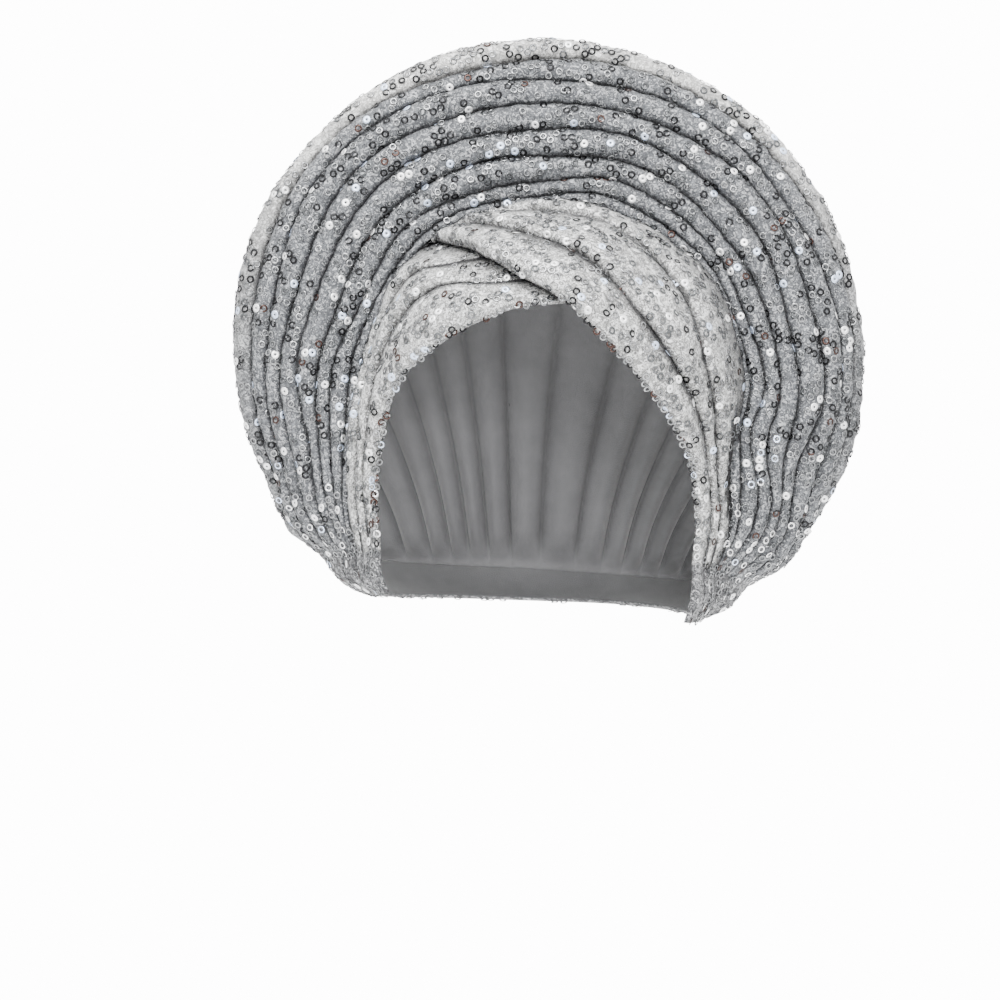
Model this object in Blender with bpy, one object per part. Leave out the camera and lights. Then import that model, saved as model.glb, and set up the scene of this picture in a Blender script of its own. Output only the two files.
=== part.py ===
"""A pre-tied turban cap of sequined cloth, as worn: a pleated halo round the head, two bands that
cross on the forehead, a plain crown behind and a collar that closes the shell round the neck.

Metres, +Z up. The face looks along -Y and +X is to the right as one looks at the face. The origin
is the middle of the head opening, level with the ear lobes.
"""

import math

import bmesh
import bpy
import numpy as np

# Head that the cap is shaped to: its width, its depth, and the heights of brow and crown.
HEAD_WIDTH = 0.142
HEAD_DEPTH = 0.186
BROW_HEIGHT = 0.092
HEAD_TOP = 0.164

# Pleated halo: the radius of its rim, and where its middle lies over the head opening.
HALO_RADIUS = 0.132
HALO_HEIGHT = 0.1095
HALO_SHIFT = 0.0055
HALO_ROOT_DEPTH = 0.029
HALO_DEPTH = 0.033
HALO_LEFT_DEG = -137.0
HALO_RIGHT_DEG = 144.0

# Cloth: its wall, how far pleats and folds stand up, and the gap kept between pieces. A narrow
# fold stands up by no more than ROUNDNESS of its width, and all lie flat near the collar.
CLOTH = 0.0019
PLEAT_RISE = 0.0036
FOLD_RISE = 0.0036
ROUNDNESS = 0.33
END_CALM_DEG = 14.0
END_SPAN_DEG = 26.0
SEAM_GAP = 0.0005
MITRE_TURN = 0.090

# Bands: how far they stand off the head, how deep one dives under the other, and its tuck.
BAND_STAND = 0.0030
CROSSING_STAND = 0.0075
TUCK = 0.010

# Crown behind the halo: how far it runs back at the top before it falls, and how far at the
# sides as a share of its drop. Then the soft gathers above the collar.
CROWN_SWELL = 0.080
CROWN_FULLNESS = 0.60
CROWN_INSET_DEG = 1.0
GATHER_RISE = 0.0022
GATHER_COUNT = 11

# Collar: the half turn left open for the face, and where halo and crown begin on it.
COLLAR_FACE_DEG = 62.0
COLLAR_HALO_DEG = 74.0
COLLAR_CROWN_DEG = 112.0
COLLAR_HEIGHT = 0.020

# Facets round the halo, round a pleat, down the crown and round the collar.
HALO_STATIONS = 44
PLEAT_SEGMENTS = 4
SECTION_STEPS = 181
CROWN_ROWS = 11
COLLAR_STATIONS = 42
COLLAR_ROWS = 4
FOLD_SEGMENTS = 4

# Halo by angle from the top: root and rim as shares of its radius, depth of the rim behind the
# root as a share of the halo's depth, and how squarely the section turns back at the rim.
HALO_SECTIONS = {
    "angle": (-139, -119, -106, -90, -70, -50, -25, 0, 28, 49, 70, 89, 104, 118, 127, 136, 146),
    "root": (0.90, 0.72, 0.63, 0.565, 0.53, 0.50, 0.455, 0.44, 0.46, 0.50, 0.56, 0.60, 0.64,
             0.665, 0.71, 0.80, 0.885),
    "rim": (0.99, 1.0, 1.02, 1.03, 1.03, 1.012, 1.015, 0.998, 0.995, 1.0, 1.007, 1.018, 1.035,
            1.04, 1.033, 1.018, 1.0),
    "depth": (2.1, 1.65, 1.30, 1.08, 1.0, 0.96, 0.93, 0.93, 0.93, 0.96, 1.0, 1.06, 1.2, 1.45,
              1.65, 1.9, 2.15),
    "square": (2.0, 2.2, 2.4, 2.7, 2.9, 3.0, 3.0, 3.0, 3.0, 3.0, 2.9, 2.8, 2.5, 2.3, 2.2, 2.1, 2.0),
}

# Creases between the halo's pleats by angle, as shares of the way out from root to rim. The
# outermost pleat rolls over the rim, and LIP_SHARE of its length lies before a last soft crease.
HALO_CREASES = {
    "angle": (-137, -114, -97, -78, -50, -20, 0, 20, 45, 62, 80, 102, 116, 126, 144),
    "crease_1": (0.12, 0.10, 0.11, 0.06, 0.06, 0.055, 0.052, 0.09, 0.07, 0.05, 0.035, 0.05, 0.05,
                 0.15, 0.14),
    "crease_2": (0.25, 0.25, 0.24, 0.15, 0.16, 0.135, 0.129, 0.20, 0.165, 0.15, 0.11, 0.17, 0.15,
                 0.34, 0.28),
    "crease_3": (0.37, 0.36, 0.36, 0.28, 0.31, 0.285, 0.28, 0.31, 0.30, 0.265, 0.26, 0.31, 0.30,
                 0.48, 0.42),
    "crease_4": (0.50, 0.47, 0.51, 0.434, 0.47, 0.44, 0.434, 0.46, 0.457, 0.445, 0.415, 0.455,
                 0.46, 0.60, 0.56),
    "crease_5": (0.63, 0.64, 0.63, 0.57, 0.63, 0.585, 0.576, 0.60, 0.62, 0.625, 0.606, 0.65, 0.60,
                 0.71, 0.69),
    "crease_6": (0.76, 0.763, 0.74, 0.71, 0.79, 0.735, 0.718, 0.742, 0.755, 0.745, 0.772, 0.80,
                 0.78, 0.84, 0.82),
    "crease_7": (0.88, 0.87, 0.84, 0.828, 0.895, 0.82, 0.848, 0.857, 0.875, 0.867, 0.90, 0.90,
                 0.90, 0.93, 0.92),
}
LIP_SHARE = 0.40
LIP_SEGMENTS = 3

# Upper band, by halo angle: its face edge as a longitude round the head and a share of the
# head's height, its stand-off between band (0) and crossing (1), and its two inner creases.
UPPER_BAND = {
    "angle": (-50, -25, 0, 28, 49, 70, 89, 104, 118, 127, 136, 146),
    "longitude": (-46.5, -24.0, -6.5, 8.7, 17.0, 27.0, 35.5, 46.5, 56.0, 61.5, 64.5, 62.0),
    "height": (0.79, 0.872, 0.817, 0.752, 0.69, 0.617, 0.555, 0.474, 0.395, 0.326, 0.237, 0.11),
    "stand": (0.9, 1.0, 1.0, 0.9, 0.5, 0.1, 0.0, 0.05, 0.1, 0.2, 0.3, 0.3),
    "first": (0.70, 0.78, 0.59, 0.40, 0.31, 0.27, 0.28, 0.31, 0.36, 0.38, 0.40, 0.42),
    "second": (0.85, 0.90, 0.88, 0.75, 0.63, 0.57, 0.54, 0.55, 0.62, 0.66, 0.70, 0.72),
}
NOTCH_DEG = 28.0

# Lower band, in the same terms. Its first row is the crossing, which the upper band's edge sets.
LOWER_BAND = {
    "angle": (-139, -129, -119, -106, -90, -70, -60, -50),
    "longitude": (-62.0, -64.5, -57.5, -48.0, -34.4, -18.5, -7.5, 8.0),
    "height": (0.13, 0.331, 0.479, 0.573, 0.645, 0.707, 0.735, 0.752),
    "stand": (0.3, 0.2, 0.1, 0.0, 0.0, 0.0, 0.0, 0.0),
    "first": (0.36, 0.38, 0.45, 0.56, 0.62, 0.53, 0.45, 0.22),
    "second": (0.68, 0.69, 0.72, 0.78, 0.82, 0.80, 0.76, 0.56),
}
CROSSING_DEG = -50.0
DIVE_SHARE = 1.5
DIVE_SPAN_DEG = 16.0
OPENING_SPAN_DEG = 26.5
OPENING_LEAST_SHARE = 0.06

# Collar by longitude round the head, 180 at the nape: how far its top edge stands off the head as
# a share of the halo's depth, and its top and bottom heights as shares of the collar's height.
COLLAR_SECTIONS = {
    "longitude": (62, 74, 90, 112, 150, 180, 210, 248, 270, 286, 298),
    "flare": (0.12, 0.25, 0.60, 0.68, 0.45, 0.36, 0.45, 0.68, 0.60, 0.25, 0.12),
    "top": (0.80, 0.65, 0.30, 0.22, 0.35, 0.50, 0.60, 0.80, 0.92, 1.02, 1.08),
    "bottom": (-0.42, -0.43, -0.42, -0.36, -0.25, -0.20, -0.12, 0.0, 0.10, 0.18, 0.22),
}
COLLAR_HUG = 0.0005
COLLAR_SWELL = 0.0025

SILVER_CLOTH = ((0.62, 0.63, 0.65), 0.38, 0.55)
SHADED_CLOTH = ((0.56, 0.57, 0.59), 0.45, 0.45)

HALF_WIDTH = HEAD_WIDTH / 2
HALF_DEPTH = HEAD_DEPTH / 2
DOME = HEAD_TOP - BROW_HEIGHT


def smooth(table, column, at):
    """A column of a table at one or more places, on a cubic through its rows."""
    x = np.asarray(table[column_of_places(table)], float)
    y = np.asarray(table[column], float)
    at = np.clip(np.asarray(at, float), x[0], x[-1])
    slope = np.gradient(y, x)
    i = np.clip(np.searchsorted(x, at, side="right") - 1, 0, len(x) - 2)
    step = x[i + 1] - x[i]
    t = (at - x[i]) / step
    return (
        (2 * t**3 - 3 * t**2 + 1) * y[i]
        + (t**3 - 2 * t**2 + t) * step * slope[i]
        + (3 * t**2 - 2 * t**3) * y[i + 1]
        + (t**3 - t**2) * step * slope[i + 1]
    )


def column_of_places(table):
    """The name of the column that says where each row lies."""
    return next(iter(table))


def ease(value):
    """0 below 0, 1 above 1, and a smooth step between."""
    t = np.clip(value, 0.0, 1.0)
    return t * t * (3 - 2 * t)


def unit(vectors):
    """The same directions, one long."""
    return vectors / np.maximum(np.linalg.norm(vectors, axis=-1, keepdims=True), 1e-12)


def on_head(longitude, height, stand):
    """A point at a longitude in degrees and a height, that far outside the head."""
    swell = 1 + stand / HALF_WIDTH
    turn = np.radians(longitude)
    share = np.clip((height - BROW_HEIGHT) / (DOME * swell), 0.0, 0.999)
    round_in = np.sqrt(1 - share**2)
    return np.stack(
        [
            HALF_WIDTH * swell * round_in * np.sin(turn),
            -HALF_DEPTH * swell * round_in * np.cos(turn),
            height + 0 * turn,
        ],
        axis=-1,
    )


def head_place(point):
    """Longitude in degrees, height and stand-off of a point near the head."""
    x, y, z = point[..., 0] / HALF_WIDTH, point[..., 1] / HALF_DEPTH, point[..., 2]
    over = np.maximum(z - BROW_HEIGHT, 0.0) / DOME
    swell = np.sqrt(x**2 + y**2 + over**2)
    return np.degrees(np.arctan2(x, -y)), z, (swell - 1) * HALF_WIDTH


def collar_top(longitude):
    """The collar's upper edge, where halo, bands and crown all end."""
    flare = smooth(COLLAR_SECTIONS, "flare", longitude) * HALO_DEPTH
    height = smooth(COLLAR_SECTIONS, "top", longitude) * COLLAR_HEIGHT
    return on_head(longitude, height, flare)


def collar_bottom(longitude):
    """The collar's lower edge, close round the neck."""
    height = smooth(COLLAR_SECTIONS, "bottom", longitude) * COLLAR_HEIGHT
    return on_head(longitude, height, COLLAR_HUG + 0 * height)


def section_line(angle):
    """The plain halo's section at one angle: reach out from its middle, depth, and length so far."""
    root = smooth(HALO_SECTIONS, "root", angle) * HALO_RADIUS
    rim = smooth(HALO_SECTIONS, "rim", angle) * HALO_RADIUS
    depth = smooth(HALO_SECTIONS, "depth", angle) * HALO_DEPTH
    power = 2 / smooth(HALO_SECTIONS, "square", angle)
    turn = np.linspace(0, math.pi / 2, SECTION_STEPS)
    out = root + (rim - root) * np.sin(turn) ** power
    back = -HALO_ROOT_DEPTH + depth * (1 - np.cos(turn) ** power)
    along = np.concatenate([[0], np.cumsum(np.hypot(np.diff(out), np.diff(back)))])
    return out, back, along


def halo_section(angle, share):
    """The plain halo at one angle from the top, at shares of the way along from root to rim."""
    out, back, along = section_line(angle)
    at = np.asarray(share) * along[-1]
    out, back = np.interp(at, along, out), np.interp(at, along, back)
    lean = math.radians(angle)
    return np.stack(
        [HALO_SHIFT + out * math.sin(lean), back, HALO_HEIGHT + out * math.cos(lean)], axis=-1
    )


def halo_creases(angle):
    """Where the pleats' creases lie at one angle, as shares of the section's length."""
    out, _, along = section_line(angle)
    names = [name for name in HALO_CREASES if name.startswith("crease")]
    reach = [float(smooth(HALO_CREASES, name, angle)) for name in names]
    at = np.interp(out[0] + (out[-1] - out[0]) * np.array(reach), out, along) / along[-1]
    return (0.0, *at, at[-1] + LIP_SHARE * (1 - at[-1]))


def collar_longitude(side, share):
    """Longitude on the collar where the halo's end at this share of its section sits."""
    reach = COLLAR_HALO_DEG + (COLLAR_CROWN_DEG - COLLAR_HALO_DEG) * np.asarray(share)
    return reach if side > 0 else 360 - reach


def halo_base(angle, share):
    """The halo without pleats, drawn at each end on to the collar's upper edge."""
    points = halo_section(angle, share)
    for side, end in ((-1, HALO_LEFT_DEG), (1, HALO_RIGHT_DEG)):
        pull = float(ease(1 - abs(end - angle) / END_SPAN_DEG))
        if pull > 0:
            target = collar_top(collar_longitude(side, share))
            points = points + pull * (target - halo_section(end, share))
    return points


def halo_angles():
    """The stations round the halo, which bands and crown share."""
    return np.linspace(HALO_LEFT_DEG, HALO_RIGHT_DEG, HALO_STATIONS + 1)


def crossing_station():
    """The station nearest to where the two bands cross at the halo's root."""
    return int(np.argmin(np.abs(halo_angles() - CROSSING_DEG)))


def root_mitre(points):
    """The cut of the seam between bands and halo, half inwards and half back."""
    over = np.maximum(points[..., 2] - BROW_HEIGHT, 0.0) / DOME**2
    back = ease((points[..., 2] - COLLAR_HEIGHT) / MITRE_TURN)
    inwards = np.stack([-points[..., 0] / HALF_WIDTH**2, 0 * over, -over], axis=-1)
    cut = unit(inwards) * 0.75 + back[..., None] * np.array([0.0, 0.75, 0.0])
    return unit(cut) * CLOTH * (1 + 0.3 * back[..., None])


def rim_mitre(points):
    """The cut of the seam between halo and crown, straight inwards."""
    inwards = np.array([HALO_SHIFT, 0.0, HALO_HEIGHT]) - points
    inwards[..., 1] = 0.0
    return unit(inwards) * CLOTH


def collar_mitre(points):
    """The cut of the seam along the collar's upper edge, inwards and a little up."""
    inwards = -points / np.array([HALF_WIDTH**2, HALF_DEPTH**2, 1.0])
    inwards[..., 2] = 0.0
    return unit(unit(inwards) + np.array([0.0, 0.0, 0.25])) * CLOTH


def roll(shares, creases, plump=0.7):
    """0 at each crease and 1 on the crest between two, at each share."""
    creases = np.asarray(creases, float)
    i = np.clip(np.searchsorted(creases, shares, side="right") - 1, 0, len(creases) - 2)
    width = np.maximum(creases[i + 1] - creases[i], 1e-6)
    place = np.clip((shares - creases[i]) / width, 0, 1)
    return np.sin(math.pi * place) ** plump * (place > 1e-6) * (place < 1 - 1e-6)


def shares_between(creases, segments):
    """Places from the first crease to the last, the same number in each fold."""
    steps = [
        np.linspace(a, b, segments, endpoint=False) for a, b in zip(creases, creases[1:])
    ]
    return np.concatenate([*steps, [creases[-1]]])


def normals(grid):
    """Outward directions of a grid of points, rows by columns."""
    across = np.gradient(grid, axis=0)
    along = np.gradient(grid, axis=1)
    return unit(np.cross(across, along))


def edge_of(grid, edge):
    """The row or column of a grid at a named edge."""
    side, way = edge.split("_")
    index = 0 if side == "first" else -1
    return grid[index] if way == "row" else grid[:, index]


def drawn_in(grid, edge):
    """Half a seam's gap from a named edge into the piece, fading out across it."""
    side, way = edge.split("_")
    axis = 0 if way == "row" else 1
    lines = np.moveaxis(grid, axis, 0)
    order = slice(None) if side == "first" else slice(None, None, -1)
    lines = lines[order]
    step = unit(lines[1] - lines[0]) * SEAM_GAP / 2
    moved = np.linspace(1, 0, len(lines))[:, None, None] * step
    return np.moveaxis(moved[order], 0, axis)


def wall(base, lift, seams):
    """The two skins of a piece of cloth: its plain shape raised in folds, and a wall below it.

    Each seam names an edge, and gives the direction of its cut through the wall or None.
    """
    out = normals(base)
    outside = base + out * lift[..., None] + sum(drawn_in(base, edge) for edge in seams)
    inside = outside - out * CLOTH
    for edge, cut in seams.items():
        if cut is not None:
            edge_of(inside, edge)[...] = edge_of(outside, edge) + cut(edge_of(base, edge))
    return outside, inside


def material(name, look):
    """A cloth material with its colour, roughness and metallic value."""
    colour, roughness, metallic = look
    made = bpy.data.materials.new(name)
    made.use_nodes = True
    shader = made.node_tree.nodes["Principled BSDF"]
    shader.inputs["Base Color"].default_value = (*colour, 1.0)
    shader.inputs["Roughness"].default_value = roughness
    shader.inputs["Metallic"].default_value = metallic
    return made


def cloth_piece(name, outside, inside, look):
    """A closed wall of cloth between two grids of points."""
    rows, columns = outside.shape[:2]
    mesh = bmesh.new()
    skins = [
        [[mesh.verts.new(point) for point in row] for row in skin] for skin in (outside, inside)
    ]
    for skin, flip in ((skins[0], True), (skins[1], False)):
        for i in range(rows - 1):
            for j in range(columns - 1):
                corners = [skin[i][j], skin[i][j + 1], skin[i + 1][j + 1], skin[i + 1][j]]
                mesh.faces.new(corners[::-1] if flip else corners)
    rim = [(0, j) for j in range(columns)]
    rim += [(i, columns - 1) for i in range(1, rows)]
    rim += [(rows - 1, j) for j in range(columns - 2, -1, -1)]
    rim += [(i, 0) for i in range(rows - 2, 0, -1)]
    for (i, j), (k, m) in zip(rim, rim[1:] + rim[:1]):
        mesh.faces.new([skins[0][i][j], skins[0][k][m], skins[1][k][m], skins[1][i][j]])
    data = bpy.data.meshes.new(name)
    mesh.to_mesh(data)
    mesh.free()
    data.materials.append(look)
    data.shade_smooth()
    data.set_sharp_from_angle(angle=math.radians(50))
    piece = bpy.data.objects.new(name, data)
    bpy.context.collection.objects.link(piece)
    return piece


def fold_lift(creases, shares, length, rise):
    """How far each place across a run of folds stands up, less in a narrow fold."""
    widths = np.diff(creases) * length
    fold = np.clip(np.searchsorted(creases, shares, side="right") - 1, 0, len(widths) - 1)
    return roll(shares, creases) * np.minimum(rise, ROUNDNESS * widths[fold])


def make_halo(look):
    """The pleated fan that stands round the head, from the bands out to its rolled rim."""
    angles = halo_angles()
    near_end = np.minimum(angles - HALO_LEFT_DEG, HALO_RIGHT_DEG - angles)
    calm = ease(near_end / END_CALM_DEG)
    rows, lift = [], []
    for angle, share_of_rise in zip(angles, calm):
        creases = halo_creases(angle)
        lip = np.linspace(creases[-1], 1.0, LIP_SEGMENTS + 1)[1:]
        shares = np.concatenate([shares_between(creases, PLEAT_SEGMENTS), lip])
        row = halo_base(angle, shares)
        length = np.linalg.norm(np.diff(row, axis=0), axis=1).sum()
        folded = np.minimum(shares, creases[-1])
        lift.append(fold_lift(creases, folded, length, PLEAT_RISE) * share_of_rise)
        rows.append(row)
    seams = {
        "first_column": root_mitre,
        "last_column": rim_mitre,
        "first_row": collar_mitre,
        "last_row": collar_mitre,
    }
    return cloth_piece("halo", *wall(np.array(rows), np.array(lift), seams), look)


def face_edge(table, angle):
    """A band's edge round the face at a halo angle: longitude, height and stand-off."""
    stand = BAND_STAND + (CROSSING_STAND - BAND_STAND) * smooth(table, "stand", angle)
    edge = np.array(
        [smooth(table, "longitude", angle), smooth(table, "height", angle) * HEAD_TOP, stand]
    )
    if table is not UPPER_BAND:
        return edge
    start = halo_angles()[crossing_station()]
    opened = np.clip((angle - start) / OPENING_SPAN_DEG, OPENING_LEAST_SHARE, 1.0)
    root = np.array(head_place(halo_base(angle, 0.0)))
    return root + opened * (edge - root)


def band_base(table, angle, shares):
    """A band without folds at one halo angle, from its face edge to the halo's root."""
    edge = face_edge(table, angle)
    root = head_place(halo_base(angle, 0.0))
    return on_head(*(a + (b - a) * shares for a, b in zip(edge, root)))


def band_end_pull(table, angle, end, side, shares):
    """How far a band's end at the collar has to move to sit on its upper edge."""
    pull = ease(1 - abs(end - angle) / END_SPAN_DEG)
    reach = COLLAR_FACE_DEG + (COLLAR_HALO_DEG - COLLAR_FACE_DEG) * shares
    target = collar_top(reach if side > 0 else 360 - reach)
    return pull * (target - band_base(table, end, shares))


def fold_shares(table, angle):
    """Places across a band, the same number in each of its three folds."""
    first = float(smooth(table, "first", angle))
    second = float(smooth(table, "second", angle))
    creases = (0.0, first, second, 1.0)
    return creases, shares_between(creases, FOLD_SEGMENTS)


def make_upper_band(look):
    """The band that crosses over the forehead, down to the ear on the right."""
    angles = halo_angles()[crossing_station() :]
    rows, lift = [], []
    for angle in angles:
        creases, shares = fold_shares(UPPER_BAND, angle)
        row = band_base(UPPER_BAND, angle, shares)
        row = row + band_end_pull(UPPER_BAND, angle, HALO_RIGHT_DEG, 1, shares)
        length = np.linalg.norm(row[-1] - row[0])
        rise = FOLD_RISE * ease((HALO_RIGHT_DEG - angle) / END_CALM_DEG)
        lift.append(fold_lift(creases, shares, length, rise))
        rows.append(row)
    seams = {"first_row": None, "last_column": root_mitre, "last_row": collar_mitre}
    return cloth_piece("upper_band", *wall(np.array(rows), np.array(lift), seams), look)


def tucked_row(shares):
    """The lower band's end, tucked flat under the upper band's edge from the notch to the halo."""
    start = halo_angles()[crossing_station()]
    angles = NOTCH_DEG + (start - NOTCH_DEG) * shares
    longitude, height, over = np.array([face_edge(UPPER_BAND, a) for a in angles]).T
    longitude = longitude + np.degrees(TUCK / HALF_DEPTH) * (1 - shares) ** 1.5
    height = height + 2 * TUCK * shares * (1 - shares) ** 1.5
    stand = np.minimum(BAND_STAND, over - CLOTH - 2 * SEAM_GAP)
    row = on_head(longitude, height, stand)
    root = halo_base(start, 0.0)
    row[-1] = root + root_mitre(root) * DIVE_SHARE
    row[-1] += unit(row[-2] - row[-1]) * SEAM_GAP
    return row


def make_lower_band(look):
    """The band that runs under the other from the forehead down to the ear on the left."""
    angles = halo_angles()[: crossing_station()]
    rows, lift = [], []
    for angle in angles:
        creases, shares = fold_shares(LOWER_BAND, angle)
        row = band_base(LOWER_BAND, angle, shares)
        row = row + band_end_pull(LOWER_BAND, angle, HALO_LEFT_DEG, -1, shares)
        length = np.linalg.norm(row[-1] - row[0])
        calm = ease((angle - HALO_LEFT_DEG) / END_CALM_DEG) * ease((CROSSING_DEG - angle) / DIVE_SPAN_DEG)
        lift.append(fold_lift(creases, shares, length, FOLD_RISE * calm))
        rows.append(row)
    shares = fold_shares(LOWER_BAND, CROSSING_DEG)[1]
    rows.append(tucked_row(shares))
    lift.append(0 * shares)
    seams = {"last_column": root_mitre, "first_row": collar_mitre}
    return cloth_piece("lower_band", *wall(np.array(rows), np.array(lift), seams), look)


def crown_base(angle, shares):
    """The crown at one halo angle, from the rim over the back of the head to the collar."""
    middle = (HALO_LEFT_DEG + HALO_RIGHT_DEG) / 2
    half = (HALO_RIGHT_DEG - HALO_LEFT_DEG) / 2
    longitude = 180 - (angle - middle) / half * (180 - COLLAR_CROWN_DEG)
    start, end = halo_base(angle, 1.0), collar_top(longitude)
    away = unit(np.array([end[0], end[1], 0.0]))
    drop = np.linalg.norm(end - start)
    first = start + np.array([0.0, min(CROWN_SWELL, CROWN_FULLNESS * drop), 0.0])
    second = end + away * 0.09 * drop + np.array([0.0, 0.0, 0.34 * drop])
    t = shares[:, None]
    ends = (1 - t) ** 3 * start + t**3 * end
    return ends + 3 * t * (1 - t) ** 2 * first + 3 * t**2 * (1 - t) * second


def make_crown(look):
    """The plain back of the cap, from the halo's rim down to soft gathers above the collar."""
    angles = halo_angles()
    angles[0] += CROWN_INSET_DEG
    angles[-1] -= CROWN_INSET_DEG
    shares = np.linspace(0, 1, CROWN_ROWS + 1)
    base = np.array([crown_base(a, shares) for a in angles])
    near_end = np.minimum(angles - HALO_LEFT_DEG, HALO_RIGHT_DEG - angles)
    turns = (angles - angles[0]) / np.ptp(angles) * GATHER_COUNT
    wave = (0.5 - 0.5 * np.cos(2 * math.pi * turns)) * ease(near_end / END_CALM_DEG)
    down = ease((shares - 0.35) / 0.5) * ease((1.0 - shares) / 0.1)
    lift = GATHER_RISE * wave[:, None] * down[None, :]
    seams = {
        "first_row": None,
        "last_row": None,
        "first_column": rim_mitre,
        "last_column": collar_mitre,
    }
    return cloth_piece("crown", *wall(base, lift, seams), look)


def make_collar(look):
    """The strip that closes the shell round the neck, from ear to ear behind the head."""
    longitudes = np.linspace(360 - COLLAR_FACE_DEG, COLLAR_FACE_DEG, COLLAR_STATIONS + 1)
    shares = np.linspace(0, 1, COLLAR_ROWS + 1)[:, None]
    rows = [collar_top(a) * (1 - shares) + collar_bottom(a) * shares for a in longitudes]
    lift = COLLAR_SWELL * np.sin(math.pi * np.tile(shares.T, (len(rows), 1)))
    seams = {"first_column": collar_mitre}
    return cloth_piece("collar", *wall(np.array(rows), lift, seams), look)


def main():
    """Builds the cap in an empty scene."""
    for thing in list(bpy.data.objects):
        bpy.data.objects.remove(thing)
    silver = material("sequined_cloth", SILVER_CLOTH)
    shaded = material("sequined_cloth_back", SHADED_CLOTH)
    make_halo(silver)
    make_upper_band(silver)
    make_lower_band(silver)
    make_crown(shaded)
    make_collar(shaded)


main()
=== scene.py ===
# %% [markdown]
# # A sequined turban cap
# This lesson dresses a ready-tied head wrap in Blender. The wrap is silver tulle with ring sequins,
# folded into a round pleated halo, with two bands that cross over the forehead. The plain solids
# of the part come first, as a frame that is never moved. Each one is then replaced by finer cloth.

# %% Load the frame
import math

import bpy
import numpy as np
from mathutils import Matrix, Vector


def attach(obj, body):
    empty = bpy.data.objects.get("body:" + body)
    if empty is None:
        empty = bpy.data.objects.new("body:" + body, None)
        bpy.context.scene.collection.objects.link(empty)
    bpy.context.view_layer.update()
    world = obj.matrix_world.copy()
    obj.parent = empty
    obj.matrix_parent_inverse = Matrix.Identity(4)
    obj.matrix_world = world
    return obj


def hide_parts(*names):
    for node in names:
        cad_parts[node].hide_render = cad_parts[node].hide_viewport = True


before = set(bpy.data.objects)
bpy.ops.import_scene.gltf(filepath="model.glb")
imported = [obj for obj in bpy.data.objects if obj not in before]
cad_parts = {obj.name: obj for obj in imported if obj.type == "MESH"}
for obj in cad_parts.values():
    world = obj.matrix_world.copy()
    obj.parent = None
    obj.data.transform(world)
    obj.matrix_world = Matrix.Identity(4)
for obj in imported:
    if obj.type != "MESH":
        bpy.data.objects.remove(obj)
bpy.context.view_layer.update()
print("nodes:", ", ".join(sorted(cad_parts)))

# %% [markdown]
# ## The sizes
# A pleated wrap is easier to shape by rule than by hand, because every pleat runs parallel to the
# next. So the cloth is worked out from a few sizes and some short tables. The sizes are the
# solids' own, in metres, so that the fine cloth lies exactly where the plain walls are.

# %% Head and halo sizes
HALF_WIDTH = 0.071
HALF_DEPTH = 0.093
BROW_HEIGHT = 0.092
HEAD_TOP = 0.164
DOME = HEAD_TOP - BROW_HEIGHT
HALO_RADIUS = 0.132
HALO_HEIGHT = 0.1095
HALO_SHIFT = 0.0055
HALO_ROOT_DEPTH = 0.029
HALO_DEPTH = 0.033
HALO_ENDS = (-137.0, 144.0)
END_SPAN = 26.0
COLLAR_HEIGHT = 0.020
CLOTH = 0.0019
GAP = 0.0005
print("head opening", 2 * HALF_WIDTH, "by", 2 * HALF_DEPTH, "m")

# %% [markdown]
# The halo's section changes round the head: it is widest at the ears' side, and near its two
# ends it turns to lie along the collar. Each row below is one angle from the top, and the
# columns are shares of the sizes above.

# %% Halo tables
HALO_SECTIONS = {
    "angle": (-139, -119, -106, -90, -70, -50, -25, 0, 28, 49, 70, 89, 104, 118, 127, 136, 146),
    "root": (0.90, 0.72, 0.63, 0.565, 0.53, 0.50, 0.455, 0.44, 0.46, 0.50, 0.56, 0.60, 0.64,
             0.665, 0.71, 0.80, 0.885),
    "rim": (0.99, 1.0, 1.02, 1.03, 1.03, 1.012, 1.015, 0.998, 0.995, 1.0, 1.007, 1.018, 1.035,
            1.04, 1.033, 1.018, 1.0),
    "depth": (2.1, 1.65, 1.30, 1.08, 1.0, 0.96, 0.93, 0.93, 0.93, 0.96, 1.0, 1.06, 1.2, 1.45,
              1.65, 1.9, 2.15),
    "square": (2.0, 2.2, 2.4, 2.7, 2.9, 3.0, 3.0, 3.0, 3.0, 3.0, 2.9, 2.8, 2.5, 2.3, 2.2, 2.1, 2.0),
}
HALO_CREASES = {
    "angle": (-137, -114, -97, -78, -50, -20, 0, 20, 45, 62, 80, 102, 116, 126, 144),
    "crease_1": (0.12, 0.10, 0.11, 0.06, 0.06, 0.055, 0.052, 0.09, 0.07, 0.05, 0.035, 0.05, 0.05,
                 0.15, 0.14),
    "crease_2": (0.25, 0.25, 0.24, 0.15, 0.16, 0.135, 0.129, 0.20, 0.165, 0.15, 0.11, 0.17, 0.15,
                 0.34, 0.28),
    "crease_3": (0.37, 0.36, 0.36, 0.28, 0.31, 0.285, 0.28, 0.31, 0.30, 0.265, 0.26, 0.31, 0.30,
                 0.48, 0.42),
    "crease_4": (0.50, 0.47, 0.51, 0.434, 0.47, 0.44, 0.434, 0.46, 0.457, 0.445, 0.415, 0.455,
                 0.46, 0.60, 0.56),
    "crease_5": (0.63, 0.64, 0.63, 0.57, 0.63, 0.585, 0.576, 0.60, 0.62, 0.625, 0.606, 0.65, 0.60,
                 0.71, 0.69),
    "crease_6": (0.76, 0.763, 0.74, 0.71, 0.79, 0.735, 0.718, 0.742, 0.755, 0.745, 0.772, 0.80,
                 0.78, 0.84, 0.82),
    "crease_7": (0.88, 0.87, 0.84, 0.828, 0.895, 0.82, 0.848, 0.857, 0.875, 0.867, 0.90, 0.90,
                 0.90, 0.93, 0.92),
}
LIP_SHARE = 0.40
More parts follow.
